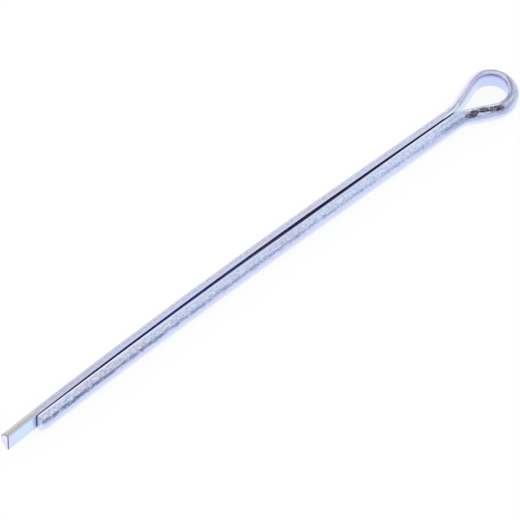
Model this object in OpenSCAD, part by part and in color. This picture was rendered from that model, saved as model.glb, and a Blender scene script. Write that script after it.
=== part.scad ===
// A split cotter pin: one length of half-round steel wire, folded flat to flat with an eye left at
// the fold. Its prongs close at the neck and at the tip, and stand a hair apart between.
// Origin: the neck, on the shank's axis, where the two prongs come together below the eye.
// +X runs along the shank from the eye to the tips, and +Z is up, across the wire's width.
// The short prong lies on the +Y side and the long prong on the -Y side.

/* [Shank] */
// Diameter of the circle that both prongs fill together
shank_d = 1.4; // [1.3:0.05:1.6]
// Length from the neck to the end of the short prong
shank_l = 32; // [26:1:40]
// How much further the long prong reaches than the short one
prong_extra = 2.2; // [1.2:0.1:3]
// Length of each prong's straight stretch, measured from the neck
straight_l = 8; // [6:0.5:10]
// Radius of the slight bow that the shank has beyond its straight stretch
bow_r = 520; // [460:10:800]

/* [Wire] */
// Radius of the wire's two corners, where its flat meets its round side
corner_r = 0.1; // [0.06:0.01:0.14]
// Bevel that cropping leaves round the outside of each prong's end
end_bevel = 0.06; // [0.03:0.01:0.1]

/* [Slit between the prongs] */
// Width of the slit at the neck
slit_neck = 0.05; // [0.03:0.01:0.07]
// Width of the slit at the end of the short prong
slit_tip = 0.03; // [0.02:0.01:0.06]
// Angle at which each prong's straight stretch opens from the shank's axis, in degrees
opening = 0.2; // [0.1:0.05:0.35]

/* [Eye] */
// Inside radius of the eye's round end
eye_r = 1; // [0.85:0.05:1.1]
// Distance from the neck to the centre of that round end
eye_reach = 2.8; // [2.7:0.05:3.2]
// How far the same centre sits off the shank's axis, towards the short prong
eye_offset = 0.08; // [0:0.01:0.1]
// Bend radius of the wire's flat where the short prong turns out into the eye
short_neck_r = 1.75; // [1:0.05:1.8]
// Bend radius of the wire's flat where the long prong turns out into the eye
long_neck_r = 0.8; // [0.75:0.05:1.2]

/* [Hidden] */
$fn = 96;
section_fn = 64; // fineness of the wire's section
bow_fn = 1800; // fineness of the bow, which turns only a few degrees on a long radius

SHORT = 1; // the side of the short prong, +Y
LONG = -1; // the side of the long prong, -Y
swell = 0.004; // how much thicker all round the wire is where it is bent into the eye
lap = 0.03; // how far the eye's straight sides run into the swollen bends at their ends

shank_r = shank_d / 2;
// Half the slit halfway along the straight stretch, where the round sides lie on the shank's circle
half_slit = slit_neck / 2 + straight_l / 2 * sin(opening);

// The prongs' bends differ a little, which closes the slit again by the end of the short prong
bow_l = shank_l - straight_l;
slit_straight = slit_neck + 2 * shank_l * sin(opening); // the slit there if nothing closed it
closing = (slit_straight - slit_tip) / pow(bow_l, 2);
short_bow_r = 1 / (1 / bow_r - closing);
long_bow_r = 1 / (1 / bow_r + closing);

// From the centre of a neck bend to the centre of the eye, in the frame of that side's prong
function neck_to_eye(side, neck_r) =
    let (
        eye_x = -eye_reach,
        eye_y = side * eye_offset - slit_neck / 2
    )
    [eye_x * cos(opening) + eye_y * sin(opening), eye_y * cos(opening) - eye_x * sin(opening) - neck_r];

// Angle through which the wire turns out at the neck, to run on straight and tangent to the eye
function neck_turn(side, neck_r) =
    let (v = neck_to_eye(side, neck_r))
    atan2(-v.x, -v.y) - acos((neck_r + eye_r) / norm(v));

// Length of the straight side between that bend and the eye's round end
function side_l(side, neck_r) =
    let (v = neck_to_eye(side, neck_r))
    sqrt(v * v - pow(neck_r + eye_r, 2));

// The half-round section: its flat stands on x = 0 and it bulges towards +x, with rounded corners.
// It may be grown all round.
module wire_section(grow = 0) {
    $fn = section_fn;
    reach = half_slit + corner_r; // from the round side's centre to the corners' centres, along x
    corner_y = sqrt(pow(shank_r - corner_r, 2) - pow(reach, 2));
    touch = [reach, corner_y] * (shank_r + grow) / (shank_r - corner_r) - [half_slit, 0];
    difference() {
        translate([-half_slit, 0]) circle(shank_r + grow);
        translate([-2 * shank_d - grow, -shank_d]) square(2 * shank_d);
        for (s = [1, -1])
            polygon([
                [-grow, s * corner_y], [-grow, s * shank_d], [touch.x, s * shank_d],
                [touch.x, s * touch.y], [corner_r, s * corner_y]
            ]);
    }
    for (s = [1, -1])
        translate([corner_r, s * corner_y]) circle(corner_r + grow);
}

// The section turned to bulge towards +x or -x
module section_to(way, grow = 0) {
    rotate(way > 0 ? 0 : 180) wire_section(grow);
}

// A straight length of wire from the origin along +X, with its flat on y = 0
module straight_wire(side, length) {
    rotate([90, 0, 90]) linear_extrude(length) section_to(side);
}

// What cropping takes off round the end of a prong: all that lies outside a steep cone
module end_cut() {
    depth = 3 * end_bevel;
    rotate([0, 90, 0]) translate([0, 0, -2 * end_bevel]) difference() {
        cylinder(r = shank_d, h = depth);
        cylinder(r1 = shank_r + end_bevel, r2 = shank_r + end_bevel - depth, h = depth);
    }
}

// One prong from the neck out: its straight stretch, then its bow towards +Y and its bevelled end
module prong(side, length, radius) {
    turn = (length - straight_l) / radius * 180 / PI;
    straight_wire(side, straight_l);
    difference() {
        translate([straight_l, radius, 0])
            rotate_extrude(start = -90, angle = turn, $fn = bow_fn)
                translate([radius, 0]) section_to(-side);
        translate([straight_l, radius, 0]) rotate(turn)
            translate([0, -radius - side * half_slit, 0]) end_cut();
    }
}

// One side of the eye: the bend out at the neck, then a straight run
module eye_side(side, radius) {
    turn = neck_turn(side, radius);
    length = side_l(side, radius);
    translate([0, side * radius, 0]) {
        rotate_extrude(start = -side * 90, angle = -side * turn)
            translate([radius, 0]) section_to(-1, swell);
        rotate(-side * turn)
            translate([-length - lap, -side * radius, 0]) straight_wire(side, length + 2 * lap);
    }
}

// Half the pin: a prong and its side of the eye, opened about the neck
module half_pin(side, length, prong_bow_r, neck_r) {
    translate([0, side * slit_neck / 2, 0]) rotate(side * opening) {
        prong(side, length, prong_bow_r);
        eye_side(side, neck_r);
    }
}

// The eye's round end, from the short prong's side to the long prong's
module eye_round() {
    short_end = 90 + opening - neck_turn(SHORT, short_neck_r);
    long_end = 270 - opening + neck_turn(LONG, long_neck_r);
    translate([-eye_reach, eye_offset, 0])
        rotate_extrude(start = short_end, angle = long_end - short_end)
            translate([eye_r, 0]) section_to(1, swell);
}

module cotter_pin() {
    color("#c8cee4") {
        half_pin(SHORT, shank_l, short_bow_r, short_neck_r);
        half_pin(LONG, shank_l + prong_extra, long_bow_r, long_neck_r);
        eye_round();
    }
}

cotter_pin();
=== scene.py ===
import math

import bpy
import numpy as np
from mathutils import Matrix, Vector, noise


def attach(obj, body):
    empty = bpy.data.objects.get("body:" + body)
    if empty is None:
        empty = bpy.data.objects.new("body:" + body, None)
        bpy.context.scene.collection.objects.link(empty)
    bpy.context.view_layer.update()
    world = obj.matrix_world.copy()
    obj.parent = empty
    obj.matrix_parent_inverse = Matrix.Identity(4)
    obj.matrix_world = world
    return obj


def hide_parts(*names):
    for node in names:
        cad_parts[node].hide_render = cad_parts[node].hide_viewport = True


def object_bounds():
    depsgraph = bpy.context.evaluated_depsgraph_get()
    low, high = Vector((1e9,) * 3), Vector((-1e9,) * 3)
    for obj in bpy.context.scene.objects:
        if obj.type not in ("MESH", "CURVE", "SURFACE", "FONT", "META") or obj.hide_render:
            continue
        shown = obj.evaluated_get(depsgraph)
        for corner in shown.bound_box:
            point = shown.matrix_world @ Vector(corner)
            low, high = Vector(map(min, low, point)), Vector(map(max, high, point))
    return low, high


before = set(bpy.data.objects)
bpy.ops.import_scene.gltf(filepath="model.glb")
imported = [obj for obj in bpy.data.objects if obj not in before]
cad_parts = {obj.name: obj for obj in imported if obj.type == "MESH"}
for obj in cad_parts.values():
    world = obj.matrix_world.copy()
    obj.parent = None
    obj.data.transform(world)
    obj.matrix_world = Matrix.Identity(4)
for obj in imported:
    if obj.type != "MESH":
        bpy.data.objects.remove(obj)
cad_low, cad_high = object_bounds()

# ---------------------------------------------------------------------------
# The pin. One length of half-round steel wire, folded flat to flat round a former that leaves
# the eye, and cropped so that one prong is longer than the other. It is all one piece: the
# spring in the wire is what holds the prongs together.
# ---------------------------------------------------------------------------

MM = 0.001           # all of the pin's sizes are in millimetres
SHANK_D = 1.4        # across both prongs
SHANK_L = 32.0       # from the neck to the short prong's end
PRONG_EXTRA = 2.2    # how much further the long prong reaches
STRAIGHT_L = 8.0     # the straight stretch of each prong behind the neck
BOW_R = 520.0        # the bow of both prongs beyond that stretch
CORNER_R = 0.1       # between the wire's flat and its round side
SLIT_NECK = 0.05     # the slit's width at the neck
SLIT_TIP = 0.03      # and at the short prong's end
OPENING = math.radians(0.2)      # how far each prong turns out from the neck
EYE_R = 1.0          # inside the eye's round end
EYE_REACH = 2.8      # from the neck to the middle of that round end
EYE_OFFSET = 0.08    # how far that middle lies to the short prong's side
SHORT_NECK_R = 1.75  # the bend from each prong into the eye
LONG_NECK_R = 0.8

shank_r = SHANK_D / 2
half_slit = SLIT_NECK / 2 + STRAIGHT_L / 2 * math.sin(OPENING)
slit_straight = SLIT_NECK + 2 * SHANK_L * math.sin(OPENING)
closing = (slit_straight - SLIT_TIP) / (SHANK_L - STRAIGHT_L) ** 2
short_bow_r = 1 / (1 / BOW_R - closing)
long_bow_r = 1 / (1 / BOW_R + closing)


def eye_side(side, neck_r):
    """The turn out at the neck, and the straight run from there to the eye's round end."""
    eye_x, eye_y = -EYE_REACH, side * EYE_OFFSET - SLIT_NECK / 2
    x = eye_x * math.cos(OPENING) + eye_y * math.sin(OPENING)
    y = eye_y * math.cos(OPENING) - eye_x * math.sin(OPENING) - neck_r
    away = math.hypot(x, y)
    turn = math.atan2(-x, -y) - math.acos((neck_r + EYE_R) / away)
    return turn, math.sqrt(away ** 2 - (neck_r + EYE_R) ** 2)


short_turn, short_side_l = eye_side(1, SHORT_NECK_R)
long_turn, long_side_l = eye_side(-1, LONG_NECK_R)

# The wire's flat from the short prong's end to the long prong's: how long each run is, and how
# sharply it turns left.
runs = [
    (SHANK_L - STRAIGHT_L, -1 / short_bow_r),
    (STRAIGHT_L, 0.0),
    (SHORT_NECK_R * short_turn, -1 / SHORT_NECK_R),
    (short_side_l, 0.0),
    (EYE_R * (math.pi - 2 * OPENING + short_turn + long_turn), 1 / EYE_R),
    (long_side_l, 0.0),
    (LONG_NECK_R * long_turn, -1 / LONG_NECK_R),
    (STRAIGHT_L, 0.0),
    (SHANK_L + PRONG_EXTRA - STRAIGHT_L, 1 / long_bow_r),
]
run_ends = np.cumsum([length for length, _ in runs])
short_neck_s, long_neck_s, wire_l = run_ends[1], run_ends[6], run_ends[-1]
arc_from, arc_to = run_ends[3], run_ends[4]      # the eye's round end


def bend_wire(s):
    """Place and heading of the wire's flat at each distance s from the short prong's end."""
    place, heading = np.zeros((len(s), 2)), np.zeros(len(s))
    at, ahead, done = np.zeros(2), 0.0, 0.0
    for length, bend in runs:
        here = s >= done
        far = np.append(s[here] - done, length)
        turned = ahead + bend * far
        if bend:
            chord = [np.sin(turned) - math.sin(ahead), math.cos(ahead) - np.cos(turned)]
            step = np.stack(chord, 1) / bend
        else:
            step = far[:, None] * np.array([math.cos(ahead), math.sin(ahead)])
        place[here], heading[here] = at + step[:-1], turned[:-1]
        at, ahead, done = at + step[-1], turned[-1], done + length
    return place, heading


# The wire's section: the flat, two rounded corners and the round side. For each point, its
# distance from the flat, its height, the way its surface faces, and how far it is from flat (0)
# to round (1).
FLAT_STEPS, CORNER_STEPS, ROUND_STEPS = 10, 7, 46
corner_out = half_slit + CORNER_R
corner_up = math.sqrt((shank_r - CORNER_R) ** 2 - corner_out ** 2)
corner_end = math.atan2(corner_up, corner_out)


def corner_point(side, facing, roundness):
    from_flat = CORNER_R * (1 + math.cos(facing))
    return from_flat, side * corner_up + CORNER_R * math.sin(facing), facing, roundness


section = []
for k in range(FLAT_STEPS):
    section.append((0.0, corner_up * (2 * k / FLAT_STEPS - 1), math.pi, 0.0))
for k in range(CORNER_STEPS):
    facing = math.pi + (corner_end - math.pi) * k / CORNER_STEPS
    section.append(corner_point(1, facing, k / CORNER_STEPS))
for k in range(ROUND_STEPS + 1):
    facing = corner_end * (1 - 2 * k / ROUND_STEPS)
    from_flat = shank_r * math.cos(facing) - half_slit
    section.append((from_flat, shank_r * math.sin(facing), facing, 1.0))
for k in range(1, CORNER_STEPS):
    facing = -corner_end - (math.pi - corner_end) * k / CORNER_STEPS
    section.append(corner_point(-1, facing, 1 - k / CORNER_STEPS))
out, up, facings, roundness = np.array(section).T
face_out, face_up = np.cos(facings), np.sin(facings)
around = len(section)
tilt = np.degrees(np.arctan2(out + half_slit, up))    # 0 on top of the wire, 90 at its side

# Round the eye the flat is squeezed and its edges roll over further: each corner's points move
# onto a quarter of an ellipse between the flat and the round side.
ROLL_FROM = 0.32     # height on the flat where the roll starts
ROLL_TILT = 17.0     # where it meets the round side
ROLL_PROUD = 0.006   # how far it stands up there
roll_out = shank_r * math.sin(math.radians(ROLL_TILT)) - half_slit
roll_up = shank_r * math.cos(math.radians(ROLL_TILT)) + ROLL_PROUD
eye_out, eye_up = out.copy(), up.copy()
for side in (1, -1):
    side_tilt = tilt if side == 1 else 180 - tilt
    edge = np.flatnonzero((side * up > ROLL_FROM) & (side_tilt < ROLL_TILT))
    edge = edge[np.argsort(side * up[edge] + out[edge])]
    steps = np.hypot(
        np.diff(out[edge], prepend=0.0), np.diff(side * up[edge], prepend=ROLL_FROM))
    last_step = math.hypot(roll_out - out[edge[-1]], roll_up - side * up[edge[-1]])
    rolled = np.cumsum(steps) / (steps.sum() + last_step) * math.pi / 2
    eye_out[edge] = roll_out * (1 - np.cos(rolled))
    eye_up[edge] = side * (ROLL_FROM + (roll_up - ROLL_FROM) * np.sin(rolled))

# Rings of that section along the wire. The shears that crop it leave a small rounded rim at each
# end, rolled over further on the short prong's round side, and rings that shrink to the middle
# close the end faces.
RING_STEP = 0.066
RIM_R = 0.07
ROLLED_R, ROLLED_L = 0.15, 0.42             # how deep and how long the rolled rim is
ROLLED_SIDE = ((15, 55), (125, 165))        # the tilts over which it deepens and fades
RIM_TURNS = np.radians([[0], [18], [36], [54], [72]])
FACE_RINGS = [0.25, 0.5, 0.75]
FACE_MIDDLE = 0.27                          # of the end face, from the flat


def ease(x, low, high):
    part = np.clip((x - low) / (high - low), 0, 1)
    return part * part * (3 - 2 * part)


def hump(x, rise, fall):
    """Eases from 0 to 1 over the rise, and back to 0 over the fall."""
    return ease(x, *rise) * (1 - ease(x, *fall))


rolled_over = roundness * hump(tilt, *ROLLED_SIDE)
short_rim = RIM_R + (ROLLED_R - RIM_R) * rolled_over
short_rim_l = RIM_R + (ROLLED_L - RIM_R) * rolled_over
long_rim = np.full(around, RIM_R)
body_s = np.linspace(ROLLED_L, wire_l - ROLLED_R, round(wire_l / RING_STEP))
face_rings = len(FACE_RINGS)
ring_s = np.concatenate([
    np.zeros((face_rings, around)),
    short_rim_l * (1 - np.cos(RIM_TURNS)),
    np.tile(body_s[:, None], around),
    wire_l - (long_rim * (1 - np.cos(RIM_TURNS)))[::-1],
    np.full((face_rings, around), wire_l),
])
inset = np.concatenate([
    np.tile(short_rim, (face_rings, 1)),
    short_rim * (1 - np.sin(RIM_TURNS)),
    np.zeros((len(body_s), around)),
    (long_rim * (1 - np.sin(RIM_TURNS)))[::-1],
    np.tile(long_rim, (face_rings, 1)),
])
rings = len(ring_s)
shrink = np.ones((rings, 1))
shrink[:face_rings, 0] = FACE_RINGS
shrink[-face_rings:, 0] = FACE_RINGS[::-1]

# Unevenness of the drawn and plated skin: a fine grain on the round side and slow waves along it.
# The former has scuffed a pitted patch beside the eye, and the roll has left a shallow crease
# round it.
GRAIN_DEPTH, GRAIN_PER_MM, GRAIN_MAKE = 0.005, np.array([3.2, 5.0, 5.0]), (0.8, 2.0, 3)
WAVE_DEPTH, WAVE_PER_MM, WAVE_MIDDLE = 0.006, np.array([0.35, 0.8, 0.8]), 0.5
WAVE_SHIFT = np.array([0, 0, 7])            # so that the waves don't follow the grain
PIT_DEPTH, PIT_PER_MM, PIT_MAKE = 0.016, np.array([7.0, 9.0, 9.0]), (0.7, 2.0, 3)
PIT_MIDDLE = 0.6
CREASE_DEPTH = 0.010
SCUFF_TILTS = ((22, 32), (47, 58))
CREASE_TILTS = ((10, 15), (15, 20))
SCUFF_PAST_NECK, SCUFF_INTO_ARC = 0.75, 0.42
SCUFF_FADE = np.array([-0.1, 0.1])
ROLL_COMES, ROLL_GOES = np.array([-0.1, 0.9]), np.array([-0.6, 0.3])     # from the two necks
scuff_from, scuff_to = short_neck_s + SCUFF_PAST_NECK, arc_from + SCUFF_INTO_ARC
middle_s = ring_s.mean(1)
at_eye = hump(middle_s, short_neck_s + ROLL_COMES, long_neck_s + ROLL_GOES)
scuffed = hump(middle_s, scuff_from + SCUFF_FADE, scuff_to + SCUFF_FADE)
patch = roundness * hump(tilt, *SCUFF_TILTS)
push = np.zeros((rings, around))
for i in range(rings):
    for j in range(around):
        spot = np.array([ring_s[i, j], out[j], up[j]])
        grain = noise.fractal(Vector(spot * GRAIN_PER_MM), *GRAIN_MAKE)
        wave = noise.noise(Vector(spot * WAVE_PER_MM + WAVE_SHIFT)) - WAVE_MIDDLE
        push[i, j] = roundness[j] * (GRAIN_DEPTH * grain + WAVE_DEPTH * wave)
        if scuffed[i] * patch[j] > 0:
            pit = noise.fractal(Vector(spot * PIT_PER_MM), *PIT_MAKE) - PIT_MIDDLE
            push[i, j] += PIT_DEPTH * scuffed[i] * patch[j] * pit
push -= CREASE_DEPTH * at_eye[:, None] * hump(tilt, *CREASE_TILTS)

away_out = out + at_eye[:, None] * (eye_out - out) + (push - inset) * face_out
away_out = (away_out - FACE_MIDDLE) * shrink + FACE_MIDDLE
away_up = (up + at_eye[:, None] * (eye_up - up) + (push - inset) * face_up) * shrink
place, heading = bend_wire(ring_s.ravel())
place, heading = place.reshape(rings, around, 2), heading.reshape(rings, around)
points = np.zeros((rings, around, 3))
points[..., 0] = place[..., 0] + away_out * np.sin(heading)
points[..., 1] = place[..., 1] - away_out * np.cos(heading)
points[..., 2] = away_up

# The bending starts from the short prong's end, so the bent wire is moved to put the neck at the
# origin and the shank along X.
neck, neck_heading = bend_wire(np.array([short_neck_s]))
swing = math.pi + OPENING - neck_heading[0]
turn = np.array([[math.cos(swing), -math.sin(swing)], [math.sin(swing), math.cos(swing)]])
points[..., :2] = (points[..., :2] - neck[0]) @ turn.T + np.array([0.0, SLIT_NECK / 2])

# One closed mesh. Each point keeps its place on the straight wire, how round it is there, and how
# far it is worn over at a cropped rim, from which the plate's colours are laid out.
verts = np.concatenate([points.reshape(-1, 3), [points[0].mean(0), points[-1].mean(0)]])
straight = np.stack([ring_s.ravel(), np.tile(out, rings), np.tile(up, rings)], 1)
straight = np.concatenate([straight, [[0, FACE_MIDDLE, 0], [wire_l, FACE_MIDDLE, 0]]])
skin = np.append(np.tile(roundness, rings), [1, 1])
rim_r = np.where(np.arange(rings)[:, None] < rings / 2, short_rim, long_rim)
worn = np.append((inset / rim_r).ravel(), [1, 1])
ring_start = np.arange(rings - 1)[:, None] * around
here, beside = ring_start + np.arange(around), ring_start + (np.arange(around) + 1) % around
faces = np.stack([here, beside, beside + around, here + around], -1).reshape(-1, 4).tolist()
short_face, long_face = len(verts) - 2, len(verts) - 1
last_start = (rings - 1) * around
faces += [((k + 1) % around, k, short_face) for k in range(around)]
faces += [(last_start + k, last_start + (k + 1) % around, long_face) for k in range(around)]

pin_mesh = bpy.data.meshes.new("pin_wire")
pin_mesh.from_pydata((verts * MM).tolist(), [], faces)
pin_mesh.shade_smooth()
for name, kind, field, values in (
    ("straight", "FLOAT_VECTOR", "vector", straight),
    ("skin", "FLOAT", "value", skin),
    ("worn", "FLOAT", "value", worn),
):
    layer = pin_mesh.attributes.new(name, kind, "POINT")
    layer.data.foreach_set(field, np.ascontiguousarray(values, np.float32).ravel())
pin_mesh.update()
pin = bpy.data.objects.new("pin_wire", pin_mesh)
bpy.context.scene.collection.objects.link(pin)

# Bright zinc under a clear blue passivate. The film is a hair thicker or thinner from place to
# place, which turns the blue towards lavender or, where it is thickest, towards straw.
zinc = bpy.data.materials.new("zinc_plate")
zinc.use_nodes = True
tree = zinc.node_tree
gloss = tree.nodes["Principled BSDF"]


def lay(kind, inputs=(), **settings):
    """Adds a node to the tree in hand, with its settings and what goes into its inputs."""
    made = tree.nodes.new("ShaderNode" + kind)
    for name, value in settings.items():
        setattr(made, name, value)
    for name, value in dict(inputs).items():
        socket = made.inputs[name]
        if isinstance(value, bpy.types.NodeSocket):
            tree.links.new(value, socket)
        else:
            socket.default_value = (*value, 1) if socket.type == "RGBA" else value
    return made


def calc(how, *values):
    return lay("Math", enumerate(values), operation=how).outputs[0]


def ramp(value, low, high, to=(0.0, 1.0)):
    """A smooth step from low to high. It falls where low is the larger of the two."""
    inputs = {"Value": value, "From Min": low, "From Max": high, "To Min": to[0], "To Max": to[1]}
    return lay("MapRange", inputs, interpolation_type="SMOOTHSTEP").outputs[0]


def overlap(*masks):
    """Where all of these masks are at 1."""
    shared = masks[0]
    for mask in masks[1:]:
        shared = calc("MULTIPLY", shared, mask)
    return shared


def within(value, low, high, soft):
    """1 between low and high, fading out over soft on both sides."""
    return overlap(ramp(value, low - soft, low + soft), ramp(value, high + soft, high - soft))


def mix(share, one, other, how="MIX"):
    inputs = {0: share, 6: one, 7: other}
    return lay("Mix", inputs, data_type="RGBA", blend_type=how).outputs[2]


def times(colour, shade):
    return mix(1.0, colour, shade, "MULTIPLY")


def tint(colour, paint, where, share):
    """Lays a share of the paint over the colour where the mask is at 1."""
    return mix(calc("MULTIPLY", where, share), colour, paint)


# Where a point is on the straight wire: millimetres along it from the short prong's end, its
# height, and its tilt in degrees from the wire's top. All the marks below are laid out in these.
# A _TOP is the pair of tilts over which a mark comes in, a _FOOT the pair over which it ends.
wire_at = lay("Attribute", attribute_name="straight").outputs["Vector"]
skin_at = lay("Attribute", attribute_name="skin").outputs["Fac"]
worn_at = lay("Attribute", attribute_name="worn").outputs["Fac"]
along, from_flat, high = lay("SeparateXYZ", {0: wire_at}).outputs
tilt_at = calc("DEGREES", calc("ARCTAN2", calc("ADD", from_flat, half_slit), high))


def blot(size, detail=2.0, rough=0.5, at=wire_at):
    """Soft uneven patches from 0 to 1, each about this long, deep and high in millimetres."""
    per_mm = tuple(1 / k for k in size)
    scaled = lay("VectorMath", {0: at, 1: per_mm}, operation="MULTIPLY").outputs[0]
    inputs = {"Vector": scaled, "Scale": 1.0, "Detail": detail, "Roughness": rough}
    return lay("TexNoise", inputs).outputs["Fac"]


# The smooth plate: pale blue and lavender in patches, and fair where the wire turns under, which
# is painted light standing in for the white floor's reflection
PALE_BLUE = (0.64, 0.75, 1.0)
LAVENDER = (0.70, 0.70, 1.0)
FAIR_BLUE = (0.86, 0.88, 1.0)
FILM_PATCH = (1.1, 0.8, 0.8)
UNDER_FROM, UNDER_TO = (80.0, 105.0), (150.0, 125.0)
off_face = ramp(worn_at, 1.0, 0.9)
on_round = overlap(ramp(skin_at, 0.85, 1.0), off_face)
film = ramp(blot(FILM_PATCH, detail=3.0), 0.37, 0.63)
painted_underside_light = overlap(
    ramp(skin_at, 0.8, 1.0), ramp(tilt_at, *UNDER_FROM), ramp(tilt_at, *UNDER_TO))
smooth_colour = tint(mix(film, PALE_BLUE, LAVENDER), FAIR_BLUE, painted_underside_light, share=0.55)

# The round side is grainier and greyer than the flat, down to where it turns under, and the
# corners between them are as grey but smooth, lifted a little by a painted highlight. The grain is
# coarsest at the short prong's end, the wire is clearer blue near the eye, and the long prong is a
# little warmer and greyest at its tip.
GREY_BLUE = (0.66, 0.72, 0.95)
GREY_LILAC = (0.68, 0.69, 0.88)
CLEAR_BLUE = (0.68, 0.76, 1.0)
TIP_GREY = (0.56, 0.57, 0.76)
FAR_WARMTH = (0.95, 0.92, 0.90)
CORNER_HIGHLIGHT_LIFT = (1.06, 1.06, 1.06)
FINE_DARK, FINE_LIGHT = (0.78, 0.79, 0.83), (1.07, 1.08, 1.08)
COARSE_DARK, COARSE_LIGHT = (0.68, 0.69, 0.73), (1.14, 1.14, 1.10)
GRAIN_SIZE = (0.26, 0.17, 0.17)
SPECK_SIZE = (0.20, 0.13, 0.13)
GREY_PATCH = (2.2, 1.2, 1.2)
WANDER_SIZE, WANDER_TILT = (0.5, 0.3, 0.3), 30.0     # of the grain's lower edge
GRAIN_TOP, GRAIN_FOOT = (14.0, 19.0), (72.0, 58.0)
CORNER_FOOT = (72.0, 56.0)
grain = blot(GRAIN_SIZE, detail=2.0, rough=0.6)
speck = blot(SPECK_SIZE, detail=3.0, rough=0.75)
wander = calc("SUBTRACT", blot(WANDER_SIZE, detail=3.0, rough=0.7), 0.5)
uneven_tilt = calc("ADD", tilt_at, calc("MULTIPLY", wander, WANDER_TILT))
grainy = overlap(on_round, ramp(tilt_at, *GRAIN_TOP), ramp(uneven_tilt, *GRAIN_FOOT))
corner = overlap(ramp(skin_at, 0.15, 0.40), ramp(tilt_at, *CORNER_FOOT), off_face)
greyer = ramp(blot(GREY_PATCH), 0.42, 0.58)
grey_colour = mix(greyer, GREY_BLUE, GREY_LILAC)
grey_colour = tint(grey_colour, CLEAR_BLUE, within(along, 22.0, arc_to, 5.0), share=0.75)
far_tip = ramp(along, long_neck_s + 20.0, long_neck_s + 30.0)
grey_colour = tint(grey_colour, TIP_GREY, far_tip, share=0.6)
far_prong = ramp(along, long_neck_s - 0.5, long_neck_s + 1.0)
grey_colour = mix(far_prong, grey_colour, times(grey_colour, FAR_WARMTH))
fine = mix(ramp(speck, 0.38, 0.62), FINE_DARK, FINE_LIGHT)
coarse = mix(ramp(speck, 0.40, 0.60), COARSE_DARK, COARSE_LIGHT)
mottled = mix(ramp(along, 14.0, 1.0), fine, coarse)
colour = mix(corner, smooth_colour, times(grey_colour, CORNER_HIGHLIGHT_LIFT))
colour = mix(grainy, colour, times(grey_colour, mottled))

# The short prong's edge along the slit has a painted highlight, with a deeper blue painted shade
# on its lip at the neck, where the slit ends
LIP_SHADE_BLUE = (0.36, 0.42, 0.74)
EDGE_FOOT = (17.0, 13.0)
LIP_FOOT = (18.0, 14.0)
on_edge = ramp(skin_at, 0.45, 0.65)
painted_edge_highlight = overlap(
    ramp(along, short_neck_s + 1.2, short_neck_s + 0.6), on_edge, ramp(tilt_at, *EDGE_FOOT),
    off_face, ramp(along, 24.0, 31.0, to=(1.0, 0.4)))
colour = mix(painted_edge_highlight, colour, FAIR_BLUE)
neck_lip = overlap(
    within(along, short_neck_s - 0.7, short_neck_s + 0.4, soft=0.4), on_edge,
    ramp(tilt_at, *LIP_FOOT))
colour = tint(colour, LIP_SHADE_BLUE, neck_lip, share=0.55)

# The short prong's shoulder, where its round side starts to turn down, carries a painted dark
# reflection: a duller blue with dark dapples, strongest towards its end, and painted calm and
# clear past its middle
CALM_BLUE = (0.68, 0.77, 1.0)
DARK_REFLECTION_BLUE = (0.42, 0.47, 0.72)
REFLECTION_DAPPLE_BLUE = (0.22, 0.26, 0.42)
DAPPLE_SIZE = (0.50, 0.22, 0.22)
CALM_TILTS = (44.0, 66.0)
SHOULDER_TOP, SHOULDER_FOOT = (44.0, 56.0), (72.0, 60.0)
RISE_AT_END = (0.0, 7.0)         # how many degrees higher it starts at the prong's end
near_prong = ramp(along, short_neck_s + 1.8, short_neck_s + 0.6)
end_tilt = calc("ADD", uneven_tilt, ramp(along, 9.0, 1.0, to=RISE_AT_END))
on_shoulder = overlap(
    ramp(end_tilt, *SHOULDER_TOP), ramp(uneven_tilt, *SHOULDER_FOOT), on_round)
calm = overlap(
    within(tilt_at, *CALM_TILTS, soft=6.0), on_round, ramp(along, 15.0, 25.0), near_prong)
colour = tint(colour, CALM_BLUE, calm, share=0.6)
painted_dark_reflection = overlap(
    on_shoulder, ramp(along, short_neck_s - 5.0, 3.0, to=(0.08, 1.0)), near_prong)
colour = tint(colour, DARK_REFLECTION_BLUE, painted_dark_reflection, share=0.56)
painted_reflection_dapples = overlap(
    on_shoulder, ramp(blot(DAPPLE_SIZE, detail=3.0, rough=0.7), 0.44, 0.54),
    ramp(along, 24.0, 1.0, to=(0.15, 1.0)), near_prong, ramp(along, 0.1, 0.8, to=(0.3, 1.0)))
colour = tint(colour, REFLECTION_DAPPLE_BLUE, painted_reflection_dapples, share=0.80)

# A thin darker line just below the grain's top, darkest at the neck, fair flecks that break up the
# painted dark reflection, and a deep blue patch of painted shade on the neck's shoulder
GRAIN_LINE = (0.50, 0.55, 0.74)
NECK_LINE = (0.40, 0.43, 0.56)
FLECK = (0.86, 0.87, 1.0)
NECK_SHADE_BLUE = (0.24, 0.29, 0.55)
FLECK_SIZE = (0.55, 0.30, 0.30)
NECK_PATCH = (0.7, 0.35, 0.35)
GRAIN_LINE_TILTS = (21.5, 25.5)
NECK_LINE_TILTS = (22.0, 29.0)
NECK_PATCH_TILTS = (42.0, 62.0)
grain_line = overlap(
    within(tilt_at, *GRAIN_LINE_TILTS, soft=3.0), on_round, near_prong,
    ramp(speck, 0.62, 0.42, to=(0.6, 1.0)))
colour = tint(colour, GRAIN_LINE, grain_line, share=0.5)
neck_line = overlap(
    within(along, short_neck_s - 1.5, scuff_from + 0.1, soft=0.5),
    within(tilt_at, *NECK_LINE_TILTS, soft=3.0), on_round)
colour = tint(colour, NECK_LINE, neck_line, share=0.6)
fleck = overlap(
    on_shoulder, ramp(blot(FLECK_SIZE, detail=2.0, rough=0.6), 0.585, 0.635),
    ramp(along, 12.0, 4.0), near_prong)
colour = tint(colour, FLECK, fleck, share=0.75)
painted_neck_shade = overlap(
    within(along, short_neck_s - 1.3, short_neck_s + 0.7, soft=0.5),
    within(uneven_tilt, *NECK_PATCH_TILTS, soft=7.0), on_round,
    ramp(blot(NECK_PATCH, detail=3.0), 0.38, 0.52))
colour = tint(colour, NECK_SHADE_BLUE, painted_neck_shade, share=0.5)

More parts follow.
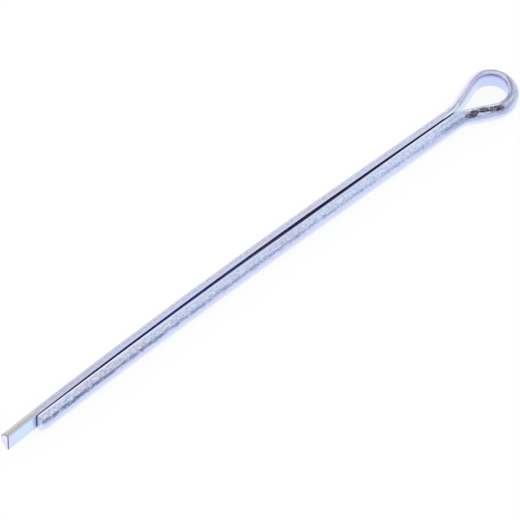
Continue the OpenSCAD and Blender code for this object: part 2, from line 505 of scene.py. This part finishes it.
# Past the short prong's end the long prong's flat shows, with a shade at the step. The film is
# thickest at its tip: straw on the round side and olive along the edge.
TIP_BLUE = (0.64, 0.80, 1.0)
TIP_LILAC = (0.76, 0.71, 1.0)
STEP_SHADE = (0.32, 0.36, 0.52)
STRAW = (0.66, 0.64, 0.48)
OLIVE = (0.36, 0.35, 0.28)
TIP_PATCH, TIP_WANDER = (0.8, 0.2, 0.2), 1.6     # how the straw's edge wanders, in millimetres
STRAW_PATCH = (0.5, 0.12, 0.12)
OLIVE_TILTS = (9.0, 22.0)
step_s = wire_l - PRONG_EXTRA
on_flat = ramp(skin_at, 0.2, 0.0)
uneven_s = calc("ADD", along, calc("MULTIPLY", blot(TIP_PATCH, detail=3.0), TIP_WANDER))
near_tip = overlap(ramp(uneven_s, wire_l - 2.3, wire_l - 1.0), off_face)
tip_flat = overlap(ramp(along, step_s - 0.4, step_s), on_flat, off_face)
tip_colour = mix(ramp(uneven_s, wire_l + 0.1, wire_l + 0.6), TIP_BLUE, TIP_LILAC)
colour = mix(tip_flat, colour, tip_colour)
step_shade = overlap(within(along, step_s - 0.4, step_s + 0.25, soft=0.12), on_flat)
colour = tint(colour, STEP_SHADE, step_shade, share=0.45)
straw = overlap(near_tip, on_round, ramp(blot(STRAW_PATCH, detail=3.0), 0.36, 0.52))
colour = tint(colour, STRAW, straw, share=0.8)
olive = overlap(near_tip, within(tilt_at, *OLIVE_TILTS, soft=4.0), ramp(skin_at, 0.5, 0.9))
colour = tint(colour, OLIVE, olive, share=0.45)

# Painted shade in the slit between the facing flats. Its lips are painted darker on both sides of
# the neck, and the short prong's lip is painted darkest some way out from it.
SLIT_SHADE = (0.17, 0.21, 0.55)
NECK_LIP_SHADE = (0.11, 0.13, 0.30)
OPEN_LIP_SHADE = (0.06, 0.075, 0.22)
in_short = within(along, 0.0, short_neck_s + 0.08, soft=0.15)
in_long = within(along, long_neck_s + 0.02, long_neck_s + SHANK_L, soft=0.10)
facing_flats = calc("MAXIMUM", in_short, in_long)
in_slit = overlap(facing_flats, ramp(skin_at, 0.45, 0.10), off_face)
colour = tint(colour, SLIT_SHADE, in_slit, share=0.33)
slit_lips_shade = overlap(
    within(along, short_neck_s - 7.0, long_neck_s + 7.0, soft=3.0), facing_flats,
    ramp(skin_at, 0.58, 0.38), off_face)
colour = tint(colour, NECK_LIP_SHADE, slit_lips_shade, share=0.72)
open_lip_shade = overlap(
    within(along, 11.0, 26.0, soft=4.0), in_short, ramp(along, 14.0, 21.0, to=(0.40, 1.0)),
    ramp(skin_at, 1.0, 0.86), off_face)
colour = tint(colour, OPEN_LIP_SHADE, open_lip_shade, share=0.95)

# The eye's inside: blue above and lavender below, brighter on the far side, and rubbed grey on
# the near side
FLAT_BLUE = (0.60, 0.70, 1.0)
FLAT_LAVENDER = (0.67, 0.69, 1.0)
FAR_BLUE = (0.66, 0.82, 1.0)
RUBBED_GREY = (0.62, 0.62, 0.70)


def way_round(share):
    """The place at this share of the way round the eye's round end."""
    return arc_from + share * (arc_to - arc_from)


round_eye = overlap(
    ramp(along, short_neck_s + 0.2, short_neck_s + 0.9),
    ramp(along, long_neck_s + 0.5, long_neck_s - 0.1))
uneven_high = calc("ADD", high, calc("MULTIPLY", film, 0.25))
inside_colour = mix(ramp(uneven_high, 0.30, -0.30), FLAT_BLUE, FLAT_LAVENDER)
inside_colour = mix(ramp(along, arc_to - 0.6, arc_to + 0.3), inside_colour, FAR_BLUE)
rubbed = ramp(along, way_round(0.45), way_round(0.25))
inside_colour = mix(rubbed, inside_colour, RUBBED_GREY)
colour = mix(overlap(round_eye, ramp(skin_at, 0.10, 0.0)), colour, inside_colour)

# The eye's rolled edge is smooth and lilac, and fairer on the near side where it carries a painted
# highlight. It is brighter past a small notch before the long prong's neck, and runs on there as a
# narrowing bright lip.
EDGE_LILAC = (0.72, 0.70, 0.90)
FAR_EDGE = (0.78, 0.73, 0.91)
NEAR_EDGE_HIGHLIGHT = (0.84, 0.82, 0.95)
NECK_EDGE = (0.90, 0.96, 1.0)
LEAD_IN = (0.84, 0.92, 1.0)
CREASE_GREY = (0.20, 0.20, 0.34)
EDGE_HIGH, EDGE_FAR_DROP = (0.43, 0.55), 0.13    # where it starts, and how much lower far round
ROLL_FOOT = (20.0, 15.0)
near_side = ramp(along, arc_from + 0.9, arc_from - 0.2)
far_edge = ramp(along, way_round(0.85), arc_to + 0.1)
wider_near = ramp(along, short_neck_s + 0.5, short_neck_s + 1.0, to=(0.0, 8.0))
roll_tilt = calc("SUBTRACT", tilt_at, calc("MULTIPLY", near_side, wider_near))
edge_high = calc("ADD", high, calc("MULTIPLY", far_edge, EDGE_FAR_DROP))
edge_roll = overlap(round_eye, ramp(edge_high, *EDGE_HIGH), ramp(roll_tilt, *ROLL_FOOT))
edge_colour = mix(ramp(along, arc_to - 0.2, arc_to + 0.3), EDGE_LILAC, FAR_EDGE)
edge_colour = mix(near_side, edge_colour, NEAR_EDGE_HIGHLIGHT)
past_notch = ramp(along, long_neck_s - 0.80, long_neck_s - 0.72)
edge_colour = mix(past_notch, edge_colour, NECK_EDGE)
colour = mix(edge_roll, colour, edge_colour)
lead_in_end = ramp(along, long_neck_s - 0.1, long_neck_s + 1.0, to=(17.0, 3.0))
lead_in = overlap(
    ramp(along, long_neck_s - 0.5, long_neck_s - 0.1),
    ramp(calc("SUBTRACT", tilt_at, lead_in_end), 1.5, -1.5), ramp(skin_at, 0.05, 0.3))
colour = mix(lead_in, colour, LEAD_IN)
notch = overlap(
    within(along, long_neck_s - 0.76, long_neck_s - 0.71, soft=0.02), ramp(high, 0.0, 0.2),
    ramp(skin_at, 0.5, 0.0))
colour = tint(colour, CREASE_GREY, notch, share=0.35)

# Beyond the rolled edge runs a dark broken crease, which swings out and back round the eye's far
# shoulder, and the outside beyond the crease is burnished and fair
BURNISHED = (0.74, 0.71, 0.94)
BURNISHED_FAIR = (0.93, 0.92, 1.0)
CREASE_BLACK = (0.20, 0.23, 0.25)
NECK_CREASE = (0.28, 0.29, 0.38)
CREASE_PATCH, CREASE_WANDER = (0.7, 0.3, 0.3), 14.0
CREASE_BREAKS = (0.5, 0.2, 0.2)
CREASE_TOP, CREASE_FOOT = (10.0, 16.0), (0.0, -6.0)      # the foot is counted from crease_end
BURNISHED_TOP, BURNISHED_FOOT = (15.0, 21.0), (115.0, 75.0)
swing_out = ramp(along, way_round(0.95), way_round(0.75), to=(0.0, 18.0))
swing_back = ramp(along, way_round(0.64), way_round(0.40), to=(0.0, -14.0))
crease_tilt = calc("SUBTRACT", tilt_at, calc("ADD", swing_out, swing_back))
burnished = overlap(
    ramp(along, long_neck_s, long_neck_s - 0.5), on_round,
    ramp(along, way_round(0.72), way_round(0.90)), ramp(crease_tilt, *BURNISHED_TOP),
    ramp(tilt_at, *BURNISHED_FOOT))
colour = mix(
    burnished, colour, mix(ramp(crease_tilt, 21.0, 46.0), BURNISHED, BURNISHED_FAIR))
crease_noise = calc("SUBTRACT", blot(CREASE_PATCH, detail=3.0), 0.5)
uneven_crease = calc("ADD", crease_tilt, calc("MULTIPLY", crease_noise, CREASE_WANDER))
crease_end = ramp(along, way_round(0.95), way_round(0.75), to=(22.0, 28.0))
crease = overlap(
    ramp(along, arc_from + 0.1, arc_from + 0.5), ramp(along, long_neck_s + 0.5, long_neck_s + 0.1),
    ramp(uneven_crease, *CREASE_TOP),
    ramp(calc("SUBTRACT", uneven_crease, crease_end), *CREASE_FOOT),
    ramp(skin_at, 0.3, 0.7))
crease_colour = mix(ramp(along, way_round(0.55), way_round(0.35)), CREASE_GREY, CREASE_BLACK)
crease_share = ramp(blot(CREASE_BREAKS, detail=3.0), 0.36, 0.58, to=(0.85, 0.55))
colour = tint(colour, crease_colour, crease, crease_share)
neck_path = ramp(along, long_neck_s - 0.7, long_neck_s + 0.2, to=(20.0, 34.0))
neck_crease = overlap(
    within(along, long_neck_s - 0.55, long_neck_s + 0.1, soft=0.2),
    within(calc("SUBTRACT", tilt_at, neck_path), -4.0, 4.0, soft=3.0), on_round)
colour = tint(colour, NECK_CREASE, neck_crease, share=0.6)

# Rub marks from the former: streaks on the outside of the eye's round end. A blue blotch and a
# dark accent on its rolled edge are painted dark reflection, and a lavender crescent on its flat
# is a painted reflection.
STREAK_GREY = (0.28, 0.28, 0.34)
BLOTCH_REFLECTION_BLUE = (0.34, 0.41, 0.62)
ACCENT_REFLECTION_NAVY = (0.14, 0.15, 0.34)
CRESCENT_REFLECTION = (0.46, 0.46, 0.86)
STREAKS_PER_MM, STREAKS_PER_DEGREE = 0.5, 0.11
STREAK_FOOT = (72.0, 60.0)
BLOTCH_SIZE, BLOTCH_HIGH, BLOTCH_FOOT = (0.45, 0.2, 0.2), (0.28, 0.42), (24.0, 14.0)
ACCENT_HIGH = (0.50, 0.60)
CRESCENT_HIGH = (0.10, 0.30)
streaks_at = lay("CombineXYZ", {
    "X": calc("MULTIPLY", along, STREAKS_PER_MM),
    "Y": calc("MULTIPLY", tilt_at, STREAKS_PER_DEGREE),
}).outputs[0]
streak = overlap(
    round_eye, on_round, ramp(along, arc_from + 0.1, arc_from + 0.6),
    ramp(blot((1.0, 1.0, 1.0), detail=2.0, at=streaks_at), 0.46, 0.58),
    ramp(along, arc_to, way_round(0.80)), ramp(tilt_at, *STREAK_FOOT))
colour = tint(colour, STREAK_GREY, streak, share=0.42)
painted_reflection_blotch = overlap(
    within(along, way_round(0.42), way_round(0.94), soft=0.25), ramp(high, *BLOTCH_HIGH),
    ramp(tilt_at, *BLOTCH_FOOT), ramp(blot(BLOTCH_SIZE, detail=3.0), 0.42, 0.56))
colour = tint(colour, BLOTCH_REFLECTION_BLUE, painted_reflection_blotch, share=0.45)
painted_dark_accent = overlap(
    within(along, way_round(0.64), way_round(0.80), soft=0.22),
    within(high, *ACCENT_HIGH, soft=0.04))
colour = tint(colour, ACCENT_REFLECTION_NAVY, painted_dark_accent, share=0.50)
painted_crescent = overlap(
    within(along, way_round(0.34), way_round(0.48), soft=0.25),
    within(high, *CRESCENT_HIGH, soft=0.06))
colour = tint(colour, CRESCENT_REFLECTION, painted_crescent, share=0.6)

# Low on the wire's side, under the neck and the scuff, painted shade makes the plate a duller blue
SHADE_BLUE = (0.36, 0.37, 0.62)
NECK_SHADE = (0.30, 0.33, 0.60)
SHADE_TILTS = (59.0, 79.0)
NECK_SHADE_TILTS = (60.0, 77.0)
under = overlap(
    ramp(along, short_neck_s - 5.0, short_neck_s + 0.2, to=(0.15, 1.0)),
    ramp(along, scuff_from + 2.6, scuff_from + 2.1), within(tilt_at, *SHADE_TILTS, soft=6.0),
    on_round, ramp(film, -0.6, 0.8))
colour = tint(colour, SHADE_BLUE, under, share=0.62)
painted_shade_under_neck = overlap(
    within(along, scuff_from - 1.1, scuff_from + 0.45, soft=0.4),
    within(tilt_at, *NECK_SHADE_TILTS, soft=6.0), on_round)
colour = tint(colour, NECK_SHADE, painted_shade_under_neck, share=0.50)

# The dark scuff beside the eye starts low, climbs towards the wire's top and comes down a little
# again. Its edges are ragged, with a blue halo and with smears above it. Its middle is brown with
# near black pits, and bright specks of plate are left in it. A fainter streak follows further on.
SCUFF_NAVY = (0.042, 0.047, 0.085)
SCUFF_BROWN = (0.26, 0.25, 0.23)
LEAD_SMEAR = (0.25, 0.25, 0.30)
TOP_SMEAR = (0.34, 0.32, 0.33)
HALO_BLUE = (0.40, 0.43, 0.74)
OUTER_STREAK = (0.34, 0.35, 0.44)
PIT_SIZE = (0.16, 0.12, 0.12)
RAGGED_SIZE, RAGGED_MM, RAGGED_TILT = (0.30, 0.22, 0.22), 0.5, 36.0
HALO_TILTS = (32.0, 54.0)
LEAD_SMEAR_TILTS = (28.0, 46.0)
TOP_SMEAR_TILTS = (22.0, 32.0)
SCUFF_TOP, SCUFF_FOOT = (23.0, 31.0), (53.5, 45.5)
BROWN_FOOT = (45.0, 40.0)
OUTER_STREAK_TILTS = (33.0, 48.0)
TOP_CLIMBS, FOOT_CLIMBS = (12.0, -4.0), (13.0, -5.0)     # degrees lower than _TOP and _FOOT
TOP_DROPS, FOOT_DROPS = (0.0, 3.0), (0.0, 8.0)
ragged = calc("SUBTRACT", blot(RAGGED_SIZE, detail=5.0, rough=0.75), 0.5)
ragged_s = calc("ADD", along, calc("MULTIPLY", ragged, RAGGED_MM))
ragged_tilt = calc("ADD", tilt_at, calc("MULTIPLY", ragged, RAGGED_TILT))
drops_s = scuff_from + 1.05, scuff_from + 1.65
top_climb = ramp(along, scuff_from, scuff_from + 0.4, to=TOP_CLIMBS)
foot_climb = ramp(along, scuff_from + 0.2, scuff_from + 0.9, to=FOOT_CLIMBS)
top_tilt = calc("SUBTRACT", ragged_tilt, top_climb)
top_tilt = calc("SUBTRACT", top_tilt, ramp(along, *drops_s, to=TOP_DROPS))
foot_tilt = calc("SUBTRACT", ragged_tilt, ramp(along, *drops_s, to=FOOT_DROPS))
foot_tilt = calc("SUBTRACT", foot_tilt, foot_climb)
halo = overlap(
    within(ragged_s, scuff_from - 0.15, scuff_to + 0.20, soft=0.25),
    within(foot_tilt, *HALO_TILTS, soft=8.0), on_round)
colour = tint(colour, HALO_BLUE, halo, share=0.40)
lead_smear = overlap(
    within(along, scuff_from - 0.12, scuff_from + 0.42, soft=0.14),
    within(tilt_at, *LEAD_SMEAR_TILTS, soft=6.0), on_round)
colour = tint(colour, LEAD_SMEAR, lead_smear, share=0.70)
top_smear = overlap(
    within(along, scuff_from + 0.1, scuff_to - 0.1, soft=0.25),
    within(foot_tilt, *TOP_SMEAR_TILTS, soft=5.0), on_round)
colour = tint(colour, TOP_SMEAR, top_smear, share=0.50)
scuff = overlap(
    within(ragged_s, scuff_from - 0.18, scuff_to - 0.12, soft=0.10),
    ramp(top_tilt, *SCUFF_TOP), ramp(foot_tilt, *SCUFF_FOOT), on_round)
pits = blot(PIT_SIZE, detail=4.0, rough=0.8)
brown = overlap(
    within(along, scuff_from + 0.42, scuff_to - 0.30, soft=0.2), ramp(foot_tilt, *BROWN_FOOT),
    ramp(pits, 0.44, 0.52))
rubbed_in = overlap(
    scuff, ramp(pits, 0.64, 0.55), ramp(speck, 0.64, 0.57),
    ramp(along, scuff_from, scuff_from + 0.6, to=(0.82, 1.0)))
colour = mix(rubbed_in, colour, mix(brown, SCUFF_NAVY, SCUFF_BROWN))
outer_streak = overlap(
    within(along, scuff_from + 2.7, scuff_from + 3.4, soft=0.25),
    within(tilt_at, *OUTER_STREAK_TILTS, soft=5.0), on_round)
colour = tint(colour, OUTER_STREAK, outer_streak, share=0.40)

# Bare steel at the cropped rims, except where the short prong's end is rolled over. Inside its
# dark rim each cropped face is a fair lilac.
BARE_STEEL = (0.10, 0.10, 0.14)
FAIR_LILAC = (0.80, 0.79, 0.95)
ROLLED_TOP = (14.0, 34.0)
on_rim = overlap(ramp(worn_at, 0.02, 0.25), ramp(worn_at, 1.0, 0.85))
on_rolled = overlap(ramp(along, 5.0, 1.0), ramp(tilt_at, *ROLLED_TOP), ramp(skin_at, 0.8, 1.0))
rim_share = calc(
    "MINIMUM", ramp(skin_at, 0.3, 1.0, to=(1.0, 0.6)), ramp(along, 1.0, 5.0, to=(0.4, 1.0)))
bare_rim = overlap(on_rim, rim_share, calc("SUBTRACT", 1.0, on_rolled))
colour = mix(bare_rim, colour, BARE_STEEL)
colour = mix(ramp(worn_at, 0.9, 1.0), colour, FAIR_LILAC)
tree.links.new(colour, gloss.inputs["Base Color"])

# Bright where it is smooth, softer in the grain, and matt in the scuff, on the eye's rolled edge
# and in the open slit. The burnished outside of the eye has no grain.
SMOOTH_ROUGHNESS, GRAIN_ROUGHNESS = 0.14, 0.20
MATT = 0.3           # how much rougher the matt places are
SLIT_MATT = 0.7      # and the slit's share of that
MATT_HIGH, MATT_FAR_DROP = (0.36, 0.46), 0.16
GRAIN_BUMP = 0.04 * MM
gloss.inputs["Metallic"].default_value = 1.0
matt_high = calc("ADD", high, calc("MULTIPLY", far_edge, MATT_FAR_DROP))
matt_edge = overlap(
    ramp(along, way_round(0.30), way_round(0.45)), ramp(along, long_neck_s + 0.4, long_neck_s),
    ramp(matt_high, *MATT_HIGH), ramp(tilt_at, *ROLL_FOOT))
open_slit = calc(
    "MAXIMUM", within(along, 15.0, short_neck_s - 3.0, soft=3.0),
    within(along, long_neck_s + 3.0, long_neck_s + 17.0, soft=3.0))
matt_slit = calc("MULTIPLY", overlap(in_slit, open_slit), SLIT_MATT)
matt = calc("MAXIMUM", calc("MAXIMUM", scuff, matt_edge), matt_slit)
roughness = calc(
    "ADD", ramp(grainy, 0.0, 1.0, to=(SMOOTH_ROUGHNESS, GRAIN_ROUGHNESS)),
    calc("MULTIPLY", matt, MATT))
tree.links.new(roughness, gloss.inputs["Roughness"])
grain_high = overlap(grain, grainy, calc("SUBTRACT", 1.0, burnished))
bump = lay("Bump", {"Strength": 1.0, "Distance": GRAIN_BUMP, "Height": grain_high})
tree.links.new(bump.outputs[0], gloss.inputs["Normal"])
pin_mesh.materials.append(zinc)

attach(pin, "root")
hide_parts("cotter_pin")

# ---------------------------------------------------------------------------
# The floor. A plain white board that the pin lies on. It looks white to the camera and in the
# pin's shine, and keeps the pin's soft shadow.
# ---------------------------------------------------------------------------

FLOOR_R = 0.6        # in metres
FLOOR_SIDES = 72
BOARD_GREY = (0.15, 0.15, 0.15)      # sets how deep the shadow is
BOARD_WHITE = 0.87                   # brings the board up to white where it is seen
floor_z = cad_low[2]
corner_ways = np.arange(FLOOR_SIDES) * (2 * math.pi / FLOOR_SIDES)
floor_mesh = bpy.data.meshes.new("floor")
floor_mesh.from_pydata(
    [(FLOOR_R * math.cos(way), FLOOR_R * math.sin(way), floor_z) for way in corner_ways],
    [], [list(range(FLOOR_SIDES))],
)
floor = bpy.data.objects.new("floor", floor_mesh)
bpy.context.scene.collection.objects.link(floor)
board = bpy.data.materials.new("white_board")
board.use_nodes = True
tree = board.node_tree
tree.nodes.remove(tree.nodes["Principled BSDF"])
rays = lay("LightPath").outputs
seen = calc("MAXIMUM", rays["Is Camera Ray"], rays["Is Glossy Ray"])
board_matt = lay("BsdfDiffuse", {"Color": BOARD_GREY}).outputs[0]
board_lift = lay(
    "Emission", {"Color": (1, 1, 1), "Strength": calc("MULTIPLY", seen, BOARD_WHITE)}).outputs[0]
board_face = lay("AddShader", {0: board_matt, 1: board_lift}).outputs[0]
tree.links.new(board_face, tree.nodes["Material Output"].inputs["Surface"])
floor_mesh.materials.append(board)

# ---------------------------------------------------------------------------
# The light. A white room that lights the pin evenly from all round and above. Low down on the
# side where the camera stands it is darker and a little bluer.
# ---------------------------------------------------------------------------

ROOM_LEVEL = 0.93
LOW_DARKER = 0.42
LOW_BLUE = (0.86, 0.94, 1.0)
FRONT = Vector((0.65, 0.76, 0)).normalized()
world = bpy.data.worlds.new("studio")
bpy.context.scene.world = world
world.use_nodes = True
tree = world.node_tree
room = tree.nodes["Background"]
seen = lay("LightPath").outputs["Is Camera Ray"]
way = lay("TexCoord").outputs["Generated"]
height = lay("SeparateXYZ", {0: way}).outputs[2]
to_front = lay("VectorMath", {0: way, 1: FRONT}, operation="DOT_PRODUCT").outputs["Value"]
low_front = overlap(ramp(height, 0.44, 0.22), ramp(to_front, -0.1, 0.35))
level = calc("SUBTRACT", ROOM_LEVEL, calc("MULTIPLY", low_front, LOW_DARKER))
bluer = calc("MULTIPLY", low_front, calc("SUBTRACT", 1.0, seen))
tree.links.new(mix(bluer, (1, 1, 1), LOW_BLUE), room.inputs["Color"])
tree.links.new(calc("MAXIMUM", level, seen), room.inputs["Strength"])

# ---------------------------------------------------------------------------
# The camera. A long lens, looking down at the pin from above its short prong's side.
# ---------------------------------------------------------------------------

LOOK_AT = Vector((14.99, 0.27, 0.0)) * MM
AZIMUTH, ELEVATION = math.radians(49.51), math.radians(55.25)
DISTANCE = 0.7       # in metres
VIEW_WIDTH = 29.96 * MM
SENSOR = 36          # in millimetres, as the lens is
lens = bpy.data.cameras.new("camera")
lens.sensor_width = SENSOR
lens.lens = SENSOR * DISTANCE / VIEW_WIDTH
lens.clip_start, lens.clip_end = 0.01, 20
camera = bpy.data.objects.new("camera", lens)
back = Vector((
    math.cos(ELEVATION) * math.cos(AZIMUTH), math.cos(ELEVATION) * math.sin(AZIMUTH),
    math.sin(ELEVATION),
))
camera.location = LOOK_AT + back * DISTANCE
camera.rotation_euler = back.to_track_quat("Z", "Y").to_euler()
bpy.context.scene.collection.objects.link(camera)
bpy.context.scene.camera = camera
bpy.context.scene.view_settings.view_transform = "Standard"

bpy.context.view_layer.update()
